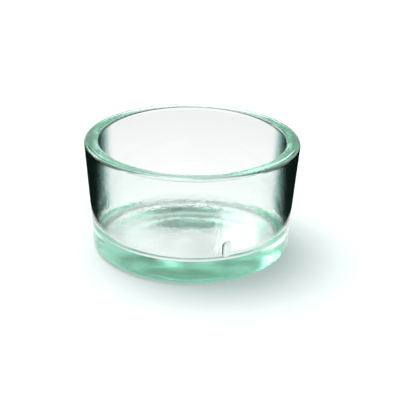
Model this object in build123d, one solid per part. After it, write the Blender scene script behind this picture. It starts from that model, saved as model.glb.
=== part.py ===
from build123d import *
import os

# Pressed-glass candle bowl, in millimetres. It stands on the XY plane with its axis along +Z,
# and its front faces -Y.

# Outside, shaped by the mould. The rim diameter is the widest, just under the rounded rim edge.
RIM_DIAMETER = 66.0
HEIGHT = 35.0
FOOT_DIAMETER = 61.5
FOOT_BAND_HEIGHT = 6.0
FOOT_BAND_BLEND = 12.0
HEEL_RADIUS = 2.9

# Rim, with both edges rounded by fire polishing
RIM_WIDTH = 4.3
RIM_OUTER_RADIUS = 1.1
RIM_INNER_RADIUS = 0.9

# Inside, shaped by the plunger, which has less draft than the mould: the wall thins downwards
FLOOR_THICKNESS = 6.5
CAVITY_FLOOR_DIAMETER = 56.3
CAVITY_CORNER_RADIUS = 3.5
PLUNGER_PAST_RIM = 2.0

# Underside: a low cone pushed up inside a ring to stand on, with soft edges
STANDING_RING_WIDTH = 2.85
RECESS_DEPTH = 2.2
RECESS_TIP_DIAMETER = 6.0
RECESS_EDGE_RADIUS = 12.0

# Round-topped rib at the foot of the inside wall, to the right of the front
RIB_ANGLE = 21.0
RIB_WIDTH = 2.6
RIB_STANDOUT = 0.45
RIB_TOP_HEIGHT = 13.4

rim_radius = RIM_DIAMETER / 2
foot_radius = FOOT_DIAMETER / 2
recess_radius = foot_radius - HEEL_RADIUS - STANDING_RING_WIDTH
cavity_floor_radius = CAVITY_FLOOR_DIAMETER / 2
mould_taper = (rim_radius - foot_radius) / (HEIGHT - RIM_OUTER_RADIUS - FOOT_BAND_HEIGHT)
mould_mouth_radius = rim_radius + mould_taper * RIM_OUTER_RADIUS
cavity_mouth_radius = rim_radius - RIM_WIDTH
cavity_taper = (cavity_mouth_radius - cavity_floor_radius) / (HEIGHT - FLOOR_THICKNESS)


def cavity_radius(height):
    """Radius of the inside wall at a height above the table."""
    return cavity_floor_radius + cavity_taper * (height - FLOOR_THICKNESS)


def turned(corners):
    """A solid of revolution about Z. Each corner of its half outline is (radius, height, rounding)."""
    with BuildPart() as solid:
        with BuildSketch(Plane.XZ) as half:
            with BuildLine():
                Polyline(*[(radius, height) for radius, height, rounding in corners], close=True)
            make_face()
            for radius, height, rounding in corners:
                if rounding:
                    at_corner = half.vertices().sort_by_distance((radius, height, 0))[0]
                    fillet(at_corner, rounding)
        revolve(axis=Axis.Z)
    return solid.part


def blank():
    """The outside of the bowl, filled solid, with the recess under its base."""
    return turned(
        [
            (0, RECESS_DEPTH, 0),
            (RECESS_TIP_DIAMETER / 2, RECESS_DEPTH, RECESS_EDGE_RADIUS),
            (recess_radius, 0, RECESS_EDGE_RADIUS),
            (foot_radius, 0, HEEL_RADIUS),
            (foot_radius, FOOT_BAND_HEIGHT, FOOT_BAND_BLEND),
            (mould_mouth_radius, HEIGHT, 0),
            (0, HEIGHT, 0),
        ]
    )


def rib_groove():
    """The round-ended groove in the plunger's edge, which leaves the rib on the inside wall."""
    half_width = RIB_WIDTH / 2
    groove_radius = (half_width**2 + RIB_STANDOUT**2) / (2 * RIB_STANDOUT)
    axis_depth = groove_radius - RIB_STANDOUT
    top_height = RIB_TOP_HEIGHT - half_width
    foot = Vector(cavity_radius(0) + axis_depth, 0, 0)
    top = Vector(cavity_radius(top_height) + axis_depth, 0, top_height)
    run = top - foot
    along_wall = Plane(origin=foot, z_dir=run)
    on_floor = (Align.CENTER, Align.CENTER, Align.MIN)
    groove = along_wall * Cylinder(groove_radius, run.length, align=on_floor)
    groove += Pos(top) * Sphere(groove_radius)
    front = -90
    return Rot(0, 0, front + RIB_ANGLE) * groove


def plunger():
    """The press tool that leaves the cavity, carried on past the rim along its taper."""
    top = HEIGHT + PLUNGER_PAST_RIM
    core = turned(
        [
            (0, FLOOR_THICKNESS, 0),
            (cavity_floor_radius, FLOOR_THICKNESS, CAVITY_CORNER_RADIUS),
            (cavity_radius(top), top, 0),
            (0, top, 0),
        ]
    )
    return core - rib_groove()


def glass_bowl():
    """The pressed bowl with its rim fire polished."""
    bowl = blank() - plunger()
    inner_edge, outer_edge = bowl.edges().group_by(Axis.Z)[-1].sort_by(SortBy.RADIUS)
    bowl = fillet(inner_edge, RIM_INNER_RADIUS)
    outer_edge = bowl.edges().group_by(Axis.Z)[-1].sort_by(SortBy.RADIUS)[-1]
    return fillet(outer_edge, RIM_OUTER_RADIUS)


os.makedirs("parts", exist_ok=True)
export_step(glass_bowl(), "parts/glass_bowl.step")
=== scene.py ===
import math

import bpy
import numpy as np
from mathutils import Matrix, Vector, noise


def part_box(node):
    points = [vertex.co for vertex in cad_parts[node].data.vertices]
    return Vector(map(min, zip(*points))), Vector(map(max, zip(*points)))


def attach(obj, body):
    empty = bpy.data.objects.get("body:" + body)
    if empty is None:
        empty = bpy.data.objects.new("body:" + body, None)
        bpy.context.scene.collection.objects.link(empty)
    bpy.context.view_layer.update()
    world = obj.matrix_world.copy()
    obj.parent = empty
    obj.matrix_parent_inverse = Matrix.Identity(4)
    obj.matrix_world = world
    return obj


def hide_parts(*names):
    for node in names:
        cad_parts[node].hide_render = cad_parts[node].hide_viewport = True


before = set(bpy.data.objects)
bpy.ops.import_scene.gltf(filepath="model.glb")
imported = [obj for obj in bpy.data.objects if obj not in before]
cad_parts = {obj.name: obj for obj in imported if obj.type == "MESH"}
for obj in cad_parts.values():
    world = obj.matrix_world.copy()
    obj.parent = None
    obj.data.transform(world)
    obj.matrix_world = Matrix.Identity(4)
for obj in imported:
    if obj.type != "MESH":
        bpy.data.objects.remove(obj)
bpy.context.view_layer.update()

# A pressed-glass candle bowl on white paper. Lengths are in metres, and angles in degrees
MM = 0.001
WHITE = (1.0, 1.0, 1.0, 1.0)

# The bowl's outline, with its height and widest radius from the frame's box
NODE = "glass_bowl"
bowl_low, bowl_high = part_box(NODE)
HEIGHT = bowl_high.z - bowl_low.z
RIM_RADIUS = (bowl_high.x - bowl_low.x) / 2
RIM_WIDTH = 4.3 * MM
RIM_OUTER_RADIUS = 1.1 * MM
RIM_INNER_RADIUS = 0.9 * MM
FOOT_RADIUS = 30.75 * MM
FOOT_BAND_HEIGHT = 6.0 * MM
FOOT_BAND_BLEND = 12.0 * MM
HEEL_RADIUS = 2.9 * MM
FLOOR_THICKNESS = 6.5 * MM
CAVITY_FLOOR_RADIUS = 28.15 * MM
CAVITY_CORNER_RADIUS = 3.5 * MM
STANDING_RING_WIDTH = 2.85 * MM
RECESS_DEPTH = 2.2 * MM
RECESS_TIP_RADIUS = 3.0 * MM
RECESS_EDGE_RADIUS = 12.0 * MM

# Rib at the foot of the inside wall, turned to the right of the front, which faces -Y
FRONT_ANGLE = -90.0
RIB_ANGLE = 21.0
RIB_WIDTH = 2.6 * MM
RIB_STANDOUT = 0.45 * MM
RIB_TOP_HEIGHT = 13.4 * MM

# How finely the outline is cut: lengths of the steps on its runs, and the turn of a step on its arcs
COARSE_STEP = 1.4 * MM
WALL_STEP = 0.8 * MM
FINE_STEP = 0.42 * MM
ARC_STEP = 9.0
ARC_FEWEST_STEPS = 2

# How finely the bowl is turned: steps in a full turn, and parts of each step within a span of the rib
TURN_STEPS = 480
RIB_STEPS = 4
RIB_SPAN = 4.0

# Waviness of the pressed surfaces: (size across, size up, height) of each layer of waves. The layers are
# read from the noise a shift apart. Over the calm depth, they sink to the calm level near the rim's top
INSIDE_WAVES = [(9.0 * MM, 7.0 * MM, 0.020 * MM), (2.4 * MM, 2.0 * MM, 0.004 * MM)]
OUTSIDE_WAVES = [(14.0 * MM, 10.0 * MM, 0.020 * MM)]
FLOOR_WAVES = [(10.0 * MM, 10.0 * MM, 0.020 * MM), (3.0 * MM, 3.0 * MM, 0.008 * MM)]
UNDERSIDE_WAVES = [(6.0 * MM, 6.0 * MM, 0.040 * MM), (2.2 * MM, 2.2 * MM, 0.020 * MM)]
WAVE_SHIFT = 17.3
CALM_DEPTH = 5.0 * MM
CALM_LEVEL = 0.1

# Glass: fire polished, apart from the underside, which keeps the grain of the mould. The grain fades out
# between the two heights of its top. The bump is a fine unevenness of the walls
GLASS_IOR = 1.52
GLASS_TINT = (0.565, 0.85, 0.755)
GLASS_DENSITY = 54.0
POLISHED_ROUGHNESS = 0.02
UNDERSIDE_ROUGHNESS = 0.3
UNDERSIDE_TOP = (2.2 * MM, 3.2 * MM)
ROUGHNESS_SIZE = 3.0 * MM
BUMP_SIZE = 0.9 * MM
BUMP_HEIGHT = 0.018 * MM
GRAIN_DETAIL = 2

# Camera: its place, the point that it looks at, and its roll. The lens and the sensor are in millimetres
CAMERA_PLACE = (0.0, -342.4 * MM, 162.6 * MM)
CAMERA_AIM = (2.7 * MM, 0.0, 14.4 * MM)
CAMERA_ROLL = 1.2
CAMERA_LENS = 107.4
CAMERA_SENSOR = 36.0
CAMERA_NEAR = 10.0 * MM

# Paper: its own colour, its glow to the camera, tinted teal as a painted tint of the bowl's shadow, and
# its white as the glass sees it. The levels of that white are (distance from the bowl's axis, level),
# painted
# shade: a little under the bowl, a dark ring of painted contact shadow under the heel, and some farther
# off
PAPER_HALF_WIDTH = 3.0
PAPER_COLOUR = (0.8, 0.8, 0.8)
PAPER_GLOW_PAINTED_SHADOW_TINT = (0.28, 0.357, 0.342)
PAPER_WHITE = (1.10, 1.05, 1.065)
PAPER_PAINTED_SHADE_LEVELS = [
    (27.4 * MM, 0.93),
    (28.2 * MM, 0.45),
    (30.4 * MM, 0.45),
    (31.8 * MM, 1.0),
    (50.0 * MM, 1.0),
    (130.0 * MM, 0.88),
]

# Collar of dark film round the bowl, painted dark and teal reflections in the glass's edges: (lower edge,
# upper edge), and the height to which the lower edge rises behind the bowl. A ray from the glass finds it
# clear, then teal, then dark, the farther it comes
COLLAR_RADIUS = (38.4 * MM, 41.0 * MM)
COLLAR_HEIGHT = (5.0 * MM, 33.0 * MM)
COLLAR_BACK = 14.0 * MM
COLLAR_BACK_SHARPNESS = 10
COLLAR_STEPS = 96
COLLAR_FAR = (10.8 * MM, 12.6 * MM)
COLLAR_PAINTED_TEAL = (0.20, 0.42, 0.38)
COLLAR_TEAL_SHARE = 0.5
COLLAR_PAINTED_DARK = (0.004, 0.010, 0.008)

# Key light. Azimuths of the stage run from straight behind the bowl, positive to its right
KEY_AZIMUTH = -45.0
KEY_ELEVATION = 70.0
KEY_SPREAD = 48.0
KEY_STRENGTH = 2.4

# Sky: its level as a light, and its low and high levels as the glass sees them, behind the bowl and
# elsewhere. One level fades into the next between the two angles given
SKY_FILL = 0.25
SKY_BACK_LOW = 0.9
SKY_BACK_HIGH = 0.04
SKY_BACK_ELEVATION = (21.5, 24.0)
SKY_BACK_AZIMUTH = (40.0, 70.0)
SKY_FRONT_LOW = 2.5
SKY_FRONT_HIGH = 0.1
SKY_FRONT_ELEVATION = (44.0, 52.0)

# Bright panels of the sky, which only the glass sees: (azimuths, elevations, level added to the sky).
# A panel sets in from the first angle to the second, and fades from the third to the last
PANEL_RIGHT = ((2.0, 3.4, 7.0, 10.0), (21.2, 22.0, 26.5, 28.0), 3.8)
PANEL_LEFT = ((-10.0, -7.0, -4.5, -1.5), (21.2, 22.0, 26.5, 28.0), 1.3)
SIDE_RIGHT = ((10.0, 16.0, 50.0, 60.0), (26.0, 30.0, 45.0, 50.0), 1.0)
SIDE_LEFT = ((-60.0, -50.0, -16.0, -10.0), (26.0, 30.0, 45.0, 50.0), 1.0)
WINDOW_LEFT = ((-65.0, -60.0, -36.0, -30.0), (12.0, 16.0, 32.0, 36.0), 6.0)
WINDOW_RIGHT = ((26.0, 36.0, 60.0, 65.0), (12.0, 16.0, 32.0, 36.0), 0.7)
HORIZON = ((-6.0, -4.0, 4.0, 6.0), (17.5, 18.0, 18.95, 19.3), 5.0)
KEY_PANEL = ((-95.0, -85.0, -5.0, 5.0), (40.0, 46.0, 76.0, 83.0), 3.4)
PANELS = [
    PANEL_RIGHT,
    PANEL_LEFT,
    SIDE_RIGHT,
    SIDE_LEFT,
    WINDOW_LEFT,
    WINDOW_RIGHT,
    HORIZON,
    KEY_PANEL,
]

# Light paths: long enough for the thick base, with stray bright samples clamped and nothing blurred
LIGHT_BOUNCES = 48
CLAMP_INDIRECT = 10.0
BLUR_GLOSSY = 0.0


def link(thing):
    """Puts a new object in the scene."""
    bpy.context.scene.collection.objects.link(thing)
    return thing


def unit(vector):
    """The same direction, with a length of 1."""
    return vector / np.linalg.norm(vector)


def straight(start, end, step):
    """Points from start to end, without start, about step apart."""
    count = max(1, round(np.linalg.norm(end - start) / step))
    return [start + (end - start) * i / count for i in range(1, count + 1)]


def rounding(corner, towards, away, radius):
    """Start of a corner's rounding, and the points that follow it along the arc."""
    turn = math.atan2(towards[0] * away[1] - towards[1] * away[0], towards @ away)
    reach = radius * math.tan(abs(turn) / 2)
    start = corner - towards * reach
    side = math.copysign(1, turn)
    centre = start + side * radius * np.array([-towards[1], towards[0]])
    by_angle = math.ceil(abs(math.degrees(turn)) / ARC_STEP)
    by_length = math.ceil(radius * abs(turn) / COARSE_STEP)
    count = max(ARC_FEWEST_STEPS, by_angle, by_length)
    points = []
    for i in range(1, count + 1):
        angle = turn * i / count
        spin = np.array([[math.cos(angle), -math.sin(angle)], [math.sin(angle), math.cos(angle)]])
        points.append(centre + spin @ (start - centre))
    return start, points


def outline(corners):
    """Half outline of a turned piece. A corner is (radius, height, rounding, step on the run after it)."""
    radii, heights, roundings, steps = zip(*corners)
    places = [np.array(place) for place in zip(radii, heights)]
    points = [places[0]]
    for i in range(1, len(places) - 1):
        towards = unit(places[i] - places[i - 1])
        away = unit(places[i + 1] - places[i])
        start, arc = rounding(places[i], towards, away, roundings[i])
        points += straight(points[-1], start, steps[i - 1]) + arc
    return np.array(points + straight(points[-1], places[-1], steps[-2]))


def cavity_radius(height):
    """Radius of the inside wall at a height above the table."""
    mouth = RIM_RADIUS - RIM_WIDTH
    share = (height - FLOOR_THICKNESS) / (HEIGHT - FLOOR_THICKNESS)
    return CAVITY_FLOOR_RADIUS + (mouth - CAVITY_FLOOR_RADIUS) * share


def bowl_outline():
    """Half outline of the bowl, from the middle of its underside round to the middle of its floor."""
    taper = (RIM_RADIUS - FOOT_RADIUS) / (HEIGHT - RIM_OUTER_RADIUS - FOOT_BAND_HEIGHT)
    mouth = RIM_RADIUS + taper * RIM_OUTER_RADIUS
    return outline(
        [
            (0.0, RECESS_DEPTH, 0.0, COARSE_STEP),
            (RECESS_TIP_RADIUS, RECESS_DEPTH, RECESS_EDGE_RADIUS, COARSE_STEP),
            (FOOT_RADIUS - HEEL_RADIUS - STANDING_RING_WIDTH, 0.0, RECESS_EDGE_RADIUS, WALL_STEP),
            (FOOT_RADIUS, 0.0, HEEL_RADIUS, WALL_STEP),
            (FOOT_RADIUS, FOOT_BAND_HEIGHT, FOOT_BAND_BLEND, WALL_STEP),
            (mouth, HEIGHT, RIM_OUTER_RADIUS, WALL_STEP),
            (cavity_radius(HEIGHT), HEIGHT, RIM_INNER_RADIUS, FINE_STEP),
            (CAVITY_FLOOR_RADIUS, FLOOR_THICKNESS, CAVITY_CORNER_RADIUS, COARSE_STEP),
            (0.0, FLOOR_THICKNESS, 0.0, COARSE_STEP),
        ]
    )


def outward(points):
    """Unit normals of the outline, pointing out of the glass."""
    along = np.gradient(points, axis=0)
    normals = np.stack([along[:, 1], -along[:, 0]], axis=1)
    return normals / np.linalg.norm(normals, axis=1, keepdims=True)


def turn_angles():
    """Angles of the turn in radians, closer together across the rib."""
    step = 360 / TURN_STEPS
    rib = FRONT_ANGLE + RIB_ANGLE
    angles = []
    for i in range(TURN_STEPS):
        angle = -180 + i * step
        parts = RIB_STEPS if abs(angle - rib) < RIB_SPAN else 1
        angles += [angle + step * k / parts for k in range(parts)]
    return np.radians(angles)


def rib_radius(height, angle):
    """Radius of the rib's face at each height and angle, and infinity where there is no rib."""
    half_width = RIB_WIDTH / 2
    groove = (half_width**2 + RIB_STANDOUT**2) / (2 * RIB_STANDOUT)
    top = RIB_TOP_HEIGHT - half_width
    wall = cavity_radius(height)
    turn = angle - math.radians(FRONT_ANGLE + RIB_ANGLE)
    across = wall * np.sin(turn)
    above = np.maximum(height - top, 0)
    square = groove**2 - across**2 - above**2
    ahead = np.cos(turn) > 0
    face = wall + groove - RIB_STANDOUT - np.sqrt(np.maximum(square, 0))
    return np.where((square > 0) & ahead, face, np.inf)


def waves(places, layers):
    """Height of layered smooth noise at each place."""
    total = np.zeros(len(places))
    for number, (across, up, height) in enumerate(layers):
        scaled = places / np.array([across, across, up]) + WAVE_SHIFT * (number + 1)
        total += height * np.array([noise.noise(Vector(place)) for place in scaled])
    return total


def waviness(places, out, up):
    """How far the glass swells at each place, where its normal has the parts out and up."""
    swell = np.clip(-out, 0, 1) * waves(places, INSIDE_WAVES)
    swell += np.clip(out, 0, 1) * waves(places, OUTSIDE_WAVES)
    swell += np.clip(up, 0, 1) * waves(places, FLOOR_WAVES)
    swell += np.clip(-up, 0, 1) * waves(places, UNDERSIDE_WAVES)
    return swell * np.clip((HEIGHT - places[:, 2]) / CALM_DEPTH, CALM_LEVEL, 1)


def bowl_mesh():
    """The bowl as a closed mesh: its outline turned, with the rib and the waviness of pressed glass."""
    points = bowl_outline()
    angles = turn_angles()
    rows, columns = len(points) - 2, len(angles)
    angle = np.tile(angles, rows)
    radius, height = np.repeat(points[1:-1], columns, axis=0).T
    out, up = np.repeat(outward(points)[1:-1], columns, axis=0).T
    inside = (out < 0) & (height > RECESS_DEPTH)
    radius = np.where(inside, np.minimum(radius, rib_radius(height, angle)), radius)
    places = np.stack([radius * np.cos(angle), radius * np.sin(angle), height], axis=1)
    facing = np.stack([out * np.cos(angle), out * np.sin(angle), up], axis=1)
    places += waviness(places, out, up)[:, None] * facing
    # No wave reaches below the table
    places[:, 2] = np.maximum(places[:, 2], 0)
    verts = [tuple(place) for place in places]
    verts += [(0, 0, points[0, 1]), (0, 0, points[-1, 1])]
    return verts, bowl_faces(rows, columns)


def bowl_faces(rows, columns):
    """Quads between the rings, and a fan at each end, with all faces turned outwards."""
    bottom, top = rows * columns, rows * columns + 1
    last = (rows - 1) * columns
    faces = []
    for k in range(columns):
        n = (k + 1) % columns
        faces.append((bottom, n, k))
        faces += [(r + k, r + n, r + columns + n, r + columns + k) for r in range(0, last, columns)]
        faces.append((last + k, last + n, top))
    return faces


def calc(tree, operation, *values):
    """Result of a Math node. Each value is a socket or a number."""
    node = tree.nodes.new("ShaderNodeMath")
    node.operation = operation
    for socket, value in zip(node.inputs, values):
        if isinstance(value, (int, float)):
            socket.default_value = value
        else:
            tree.links.new(value, socket)
    return node.outputs["Value"]


def split(tree, vector):
    """Sockets X, Y and Z of a vector."""
    node = tree.nodes.new("ShaderNodeSeparateXYZ")
    tree.links.new(vector, node.inputs["Vector"])
    return node.outputs


def fade(tree, value, start, end):
    """1 where value is below start, and 0 where it is above end."""
    ramp = tree.nodes.new("ShaderNodeMapRange")
    ramp.interpolation_type = "SMOOTHSTEP"
    tree.links.new(value, ramp.inputs["Value"])
    ramp.inputs["From Min"].default_value = start
    ramp.inputs["From Max"].default_value = end
    ramp.inputs["To Min"].default_value = 1
    ramp.inputs["To Max"].default_value = 0
    return ramp.outputs["Result"]


def fade_angle(tree, angle, start, end):
    """As fade, for an angle in radians, with start and end in degrees."""
    return fade(tree, angle, math.radians(start), math.radians(end))


def span(tree, angle, rise, start, end, fall):
    """1 between start and end, in degrees, and 0 outside rise and fall."""
    begun = calc(tree, "SUBTRACT", 1.0, fade_angle(tree, angle, rise, start))
    return calc(tree, "MULTIPLY", begun, fade_angle(tree, angle, end, fall))


def between(tree, share, low, high):
    """A value that goes from low to high with share."""
    part = calc(tree, "MULTIPLY", share, high)
    rest = calc(tree, "SUBTRACT", 1.0, share)
    return calc(tree, "MULTIPLY_ADD", rest, low, part)


def grain(tree, place, size):
    """Fine noise, from 0 to 1, with grains of about a size."""
    texture = tree.nodes.new("ShaderNodeTexNoise")
    tree.links.new(place, texture.inputs["Vector"])
    texture.inputs["Scale"].default_value = 1 / size
    texture.inputs["Detail"].default_value = GRAIN_DETAIL
    return texture.outputs["Fac"]


def upright(tree):
    """1 on an upright face, and 0 on a level one."""
    normal = tree.nodes.new("ShaderNodeNewGeometry").outputs["Normal"]
    return calc(tree, "SUBTRACT", 1.0, calc(tree, "ABSOLUTE", split(tree, normal)["Z"]))


def surface(tree):
    """Roughness and normal of the glass: grained underneath, polished above, and uneven below the rim."""
    place = tree.nodes.new("ShaderNodeTexCoord").outputs["Object"]
    height = split(tree, place)["Z"]
    under = fade(tree, height, *UNDERSIDE_TOP)
    most = between(tree, under, POLISHED_ROUGHNESS, UNDERSIDE_ROUGHNESS)
    roughness = calc(tree, "MULTIPLY", most, grain(tree, place, ROUGHNESS_SIZE))
    uneven = calc(tree, "MULTIPLY", upright(tree), grain(tree, place, BUMP_SIZE))
    below_rim = fade(tree, height, HEIGHT - CALM_DEPTH, HEIGHT - RIM_OUTER_RADIUS)
    bump = tree.nodes.new("ShaderNodeBump")
    bump.inputs["Strength"].default_value = 1
    bump.inputs["Distance"].default_value = BUMP_HEIGHT
    tree.links.new(calc(tree, "MULTIPLY", uneven, below_rim), bump.inputs["Height"])
    return roughness, bump.outputs["Normal"]


def glass():
    """Clear pressed glass, tinted through its thickness."""
    material = bpy.data.materials.new("pressed_glass")
    material.use_nodes = True
    nodes, links = material.node_tree.nodes, material.node_tree.links
    shader = nodes["Principled BSDF"]
    shader.inputs["Base Color"].default_value = WHITE
    shader.inputs["Transmission Weight"].default_value = 1
    shader.inputs["IOR"].default_value = GLASS_IOR
    roughness, normal = surface(material.node_tree)
    links.new(roughness, shader.inputs["Roughness"])
    links.new(normal, shader.inputs["Normal"])
    absorption = nodes.new("ShaderNodeVolumeAbsorption")
    absorption.inputs["Color"].default_value = (*GLASS_TINT, 1)
    absorption.inputs["Density"].default_value = GLASS_DENSITY
    links.new(absorption.outputs["Volume"], nodes["Material Output"].inputs["Volume"])
    return material


def make_bowl():
    """The one piece of the object, in place of the plain CAD bowl."""
    mesh = bpy.data.meshes.new("pressed_bowl")
    verts, faces = bowl_mesh()
    mesh.from_pydata(verts, [], faces)
    mesh.shade_smooth()
    mesh.materials.append(glass())
    bowl = link(bpy.data.objects.new("pressed_bowl", mesh))
    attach(bowl, "root")
    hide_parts(NODE)


def seen_in_glass(tree, path):
    """1 for a ray that the glass has bent or mirrored, and 0 for any ray that has met the paper."""
    in_glass = calc(tree, "MAXIMUM", path.outputs["Is Glossy Ray"], path.outputs["Is Transmission Ray"])
    off_paper = calc(tree, "LESS_THAN", path.outputs["Diffuse Depth"], 1.0)
    return calc(tree, "MULTIPLY", in_glass, off_paper)


def bare_material(name):
    """A material with no shader yet."""
    material = bpy.data.materials.new(name)
    material.use_nodes = True
    nodes = material.node_tree.nodes
    nodes.remove(nodes["Principled BSDF"])
    return material


def glowing(tree, colour, strength):
    """A shader that glows in one colour, with its strength from a socket."""
    shader = tree.nodes.new("ShaderNodeEmission")
    shader.inputs["Color"].default_value = (*colour, 1)
    tree.links.new(strength, shader.inputs["Strength"])
    return shader.outputs["Emission"]


def painted_paper_shade(tree):
    """How bright the paper looks in the glass at each distance from the bowl's axis: painted shade under
    the bowl, a painted contact shadow under the heel, and less far off.
    """
    place = tree.nodes.new("ShaderNodeNewGeometry")
    distance = tree.nodes.new("ShaderNodeVectorMath")
    distance.operation = "LENGTH"
    tree.links.new(place.outputs["Position"], distance.inputs[0])
    farthest = PAPER_PAINTED_SHADE_LEVELS[-1][0]
    ramp = tree.nodes.new("ShaderNodeValToRGB")
    tree.links.new(calc(tree, "DIVIDE", distance.outputs["Value"], farthest), ramp.inputs["Fac"])
    stops = ramp.color_ramp.elements
    stops.remove(stops[0])
    for reach, level in PAPER_PAINTED_SHADE_LEVELS:
        stop = stops.new(reach / farthest) if reach < farthest else stops[-1]
        stop.color = (level, level, level, 1)
    return ramp.outputs["Color"]


def paper_material():
    """White paper. The camera sees it lit, with a little glow whose teal tint is painted shadow colour,
    and the glass sees it at its set levels of painted shade.
    """
    material = bare_material("white_paper")
    tree = material.node_tree
    path = tree.nodes.new("ShaderNodeLightPath")
    paper = tree.nodes.new("ShaderNodeBsdfDiffuse")
    paper.inputs["Color"].default_value = (*PAPER_COLOUR, 1)
    lit = tree.nodes.new("ShaderNodeAddShader")
    tree.links.new(paper.outputs["BSDF"], lit.inputs[0])
    # Glow to the camera, whose teal tint is painted shadow colour
    tree.links.new(glowing(tree, PAPER_GLOW_PAINTED_SHADOW_TINT, path.outputs["Is Camera Ray"]), lit.inputs[1])
    mix = tree.nodes.new("ShaderNodeMixShader")
    tree.links.new(seen_in_glass(tree, path), mix.inputs["Fac"])
    tree.links.new(lit.outputs["Shader"], mix.inputs[1])
    # The glass sees the paper as white glow, with painted shade under the bowl and its heel
    tree.links.new(glowing(tree, PAPER_WHITE, painted_paper_shade(tree)), mix.inputs[2])
    tree.links.new(mix.outputs["Shader"], tree.nodes["Material Output"].inputs["Surface"])
    return material


def painted_dark_band_film():
    """A film that is clear to glass close by, and dark to a ray that comes to it from farther off: painted
    dark and teal reflections in the glass.
    """
    material = bare_material("painted_dark_bands")
    tree = material.node_tree
    path = tree.nodes.new("ShaderNodeLightPath")
    far = calc(tree, "SUBTRACT", 1.0, fade(tree, path.outputs["Ray Length"], *COLLAR_FAR))
    ramp = tree.nodes.new("ShaderNodeValToRGB")
    tree.links.new(calc(tree, "MULTIPLY", far, seen_in_glass(tree, path)), ramp.inputs["Fac"])
    # Painted reflections in the glass's edges: clear, then teal, then dark
    first, last = ramp.color_ramp.elements
    first.color = WHITE
    last.color = (*COLLAR_PAINTED_DARK, 1)
    ramp.color_ramp.elements.new(COLLAR_TEAL_SHARE).color = (*COLLAR_PAINTED_TEAL, 1)
    film = tree.nodes.new("ShaderNodeBsdfTransparent")
    tree.links.new(ramp.outputs["Color"], film.inputs["Color"])
    tree.links.new(film.outputs["BSDF"], tree.nodes["Material Output"].inputs["Surface"])
    return material


def stage_mesh(name, corners, faces, material):
    """A flat-faced piece of the stage."""
    mesh = bpy.data.meshes.new(name)
    mesh.from_pydata(corners, [], faces)
    mesh.materials.append(material)
    piece = link(bpy.data.objects.new(name, mesh))
    return piece


def make_floor():
    """A large sheet of paper under the bowl."""
    h = PAPER_HALF_WIDTH
    corners = [(-h, -h, 0), (h, -h, 0), (h, h, 0), (-h, h, 0)]
    stage_mesh("floor", corners, [(0, 1, 2, 3)], paper_material())


def make_collar():
    """The film round the bowl, which paints dark bands into the glass. Only the glass sees it, where it
    bends a ray far aside.
    """
    low, high = COLLAR_HEIGHT
    corners = []
    for k in range(COLLAR_STEPS):
        turn = 2 * math.pi * k / COLLAR_STEPS
        back = max(0.0, math.sin(turn)) ** COLLAR_BACK_SHARPNESS
        for radius, z in zip(COLLAR_RADIUS, (low + (COLLAR_BACK - low) * back, high)):
            corners.append((radius * math.cos(turn), radius * math.sin(turn), z))
    faces = []
    for k in range(0, len(corners), 2):
        n = (k + 2) % len(corners)
        faces.append((k, n, n + 1, k + 1))
    collar = stage_mesh("collar", corners, faces, painted_dark_band_film())
    collar.visible_camera = False
    collar.visible_diffuse = False
    collar.visible_shadow = False


def direction(azimuth, elevation):
    """Unit vector from the bowl towards a place on the stage."""
    a, e = math.radians(azimuth), math.radians(elevation)
    return Vector((math.sin(a) * math.cos(e), math.cos(a) * math.cos(e), math.sin(e)))


def make_key():
    """Soft sun from behind on the left, which lights the paper. The glass sees KEY_PANEL in its place."""
    light = bpy.data.lights.new("key", "SUN")
    light.angle = math.radians(KEY_SPREAD)
    light.energy = KEY_STRENGTH
    # With this off, rays out of the glass miss the lamp, so it makes no caustics
    light.cycles.use_multiple_importance_sampling = False
    lamp = link(bpy.data.objects.new("key", light))
    towards = direction(KEY_AZIMUTH, KEY_ELEVATION)
    lamp.location = towards
    lamp.rotation_euler = (-towards).to_track_quat("-Z", "Y").to_euler()


def sky_side(tree, elevation, low, high, edges):
    """Level of one side of the sky, which fades from low to high between two elevations."""
    share = fade_angle(tree, elevation, *edges)
    return calc(tree, "MULTIPLY_ADD", share, low - high, high)


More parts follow.
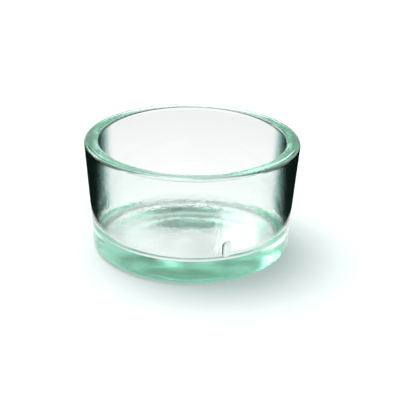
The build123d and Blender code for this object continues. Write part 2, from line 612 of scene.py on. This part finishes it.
def make_sky():
    """Plain dim light from all round. The camera sees white, and the glass sees light and dark parts."""
    world = bpy.data.worlds.new("studio")
    world.use_nodes = True
    tree = world.node_tree
    towards = split(tree, tree.nodes.new("ShaderNodeTexCoord").outputs["Generated"])
    azimuth = calc(tree, "ARCTAN2", towards["X"], towards["Y"])
    elevation = calc(tree, "ARCSINE", towards["Z"])
    behind = fade_angle(tree, calc(tree, "ABSOLUTE", azimuth), *SKY_BACK_AZIMUTH)
    back = sky_side(tree, elevation, SKY_BACK_LOW, SKY_BACK_HIGH, SKY_BACK_ELEVATION)
    front = sky_side(tree, elevation, SKY_FRONT_LOW, SKY_FRONT_HIGH, SKY_FRONT_ELEVATION)
    seen = between(tree, behind, front, back)
    for azimuths, elevations, level in PANELS:
        panel = calc(tree, "MULTIPLY", span(tree, azimuth, *azimuths), span(tree, elevation, *elevations))
        seen = calc(tree, "MULTIPLY_ADD", panel, level, seen)
    path = tree.nodes.new("ShaderNodeLightPath")
    light = between(tree, seen_in_glass(tree, path), SKY_FILL, seen)
    strength = calc(tree, "MAXIMUM", light, path.outputs["Is Camera Ray"])
    background = tree.nodes["Background"]
    background.inputs["Color"].default_value = WHITE
    tree.links.new(strength, background.inputs["Strength"])
    bpy.context.scene.world = world


def make_camera():
    """Camera at the photograph's viewing angle."""
    data = bpy.data.cameras.new("camera")
    data.sensor_width = CAMERA_SENSOR
    data.lens = CAMERA_LENS
    data.clip_start = CAMERA_NEAR
    camera = link(bpy.data.objects.new("camera", data))
    towards = Vector(CAMERA_AIM) - Vector(CAMERA_PLACE)
    looking = towards.to_track_quat("-Z", "Y").to_matrix().to_4x4()
    roll = Matrix.Rotation(math.radians(CAMERA_ROLL), 4, "Z")
    camera.matrix_world = Matrix.Translation(CAMERA_PLACE) @ looking @ roll
    bpy.context.scene.camera = camera


def set_light_paths():
    """Enough bounces for light to get through the base, and colours that show as they are written."""
    cycles = bpy.context.scene.cycles
    cycles.max_bounces = LIGHT_BOUNCES
    cycles.transmission_bounces = LIGHT_BOUNCES
    cycles.glossy_bounces = LIGHT_BOUNCES
    cycles.sample_clamp_indirect = CLAMP_INDIRECT
    cycles.blur_glossy = BLUR_GLOSSY
    bpy.context.scene.view_settings.view_transform = "Standard"


make_bowl()
make_floor()
make_collar()
make_key()
make_sky()
make_camera()
set_light_paths()
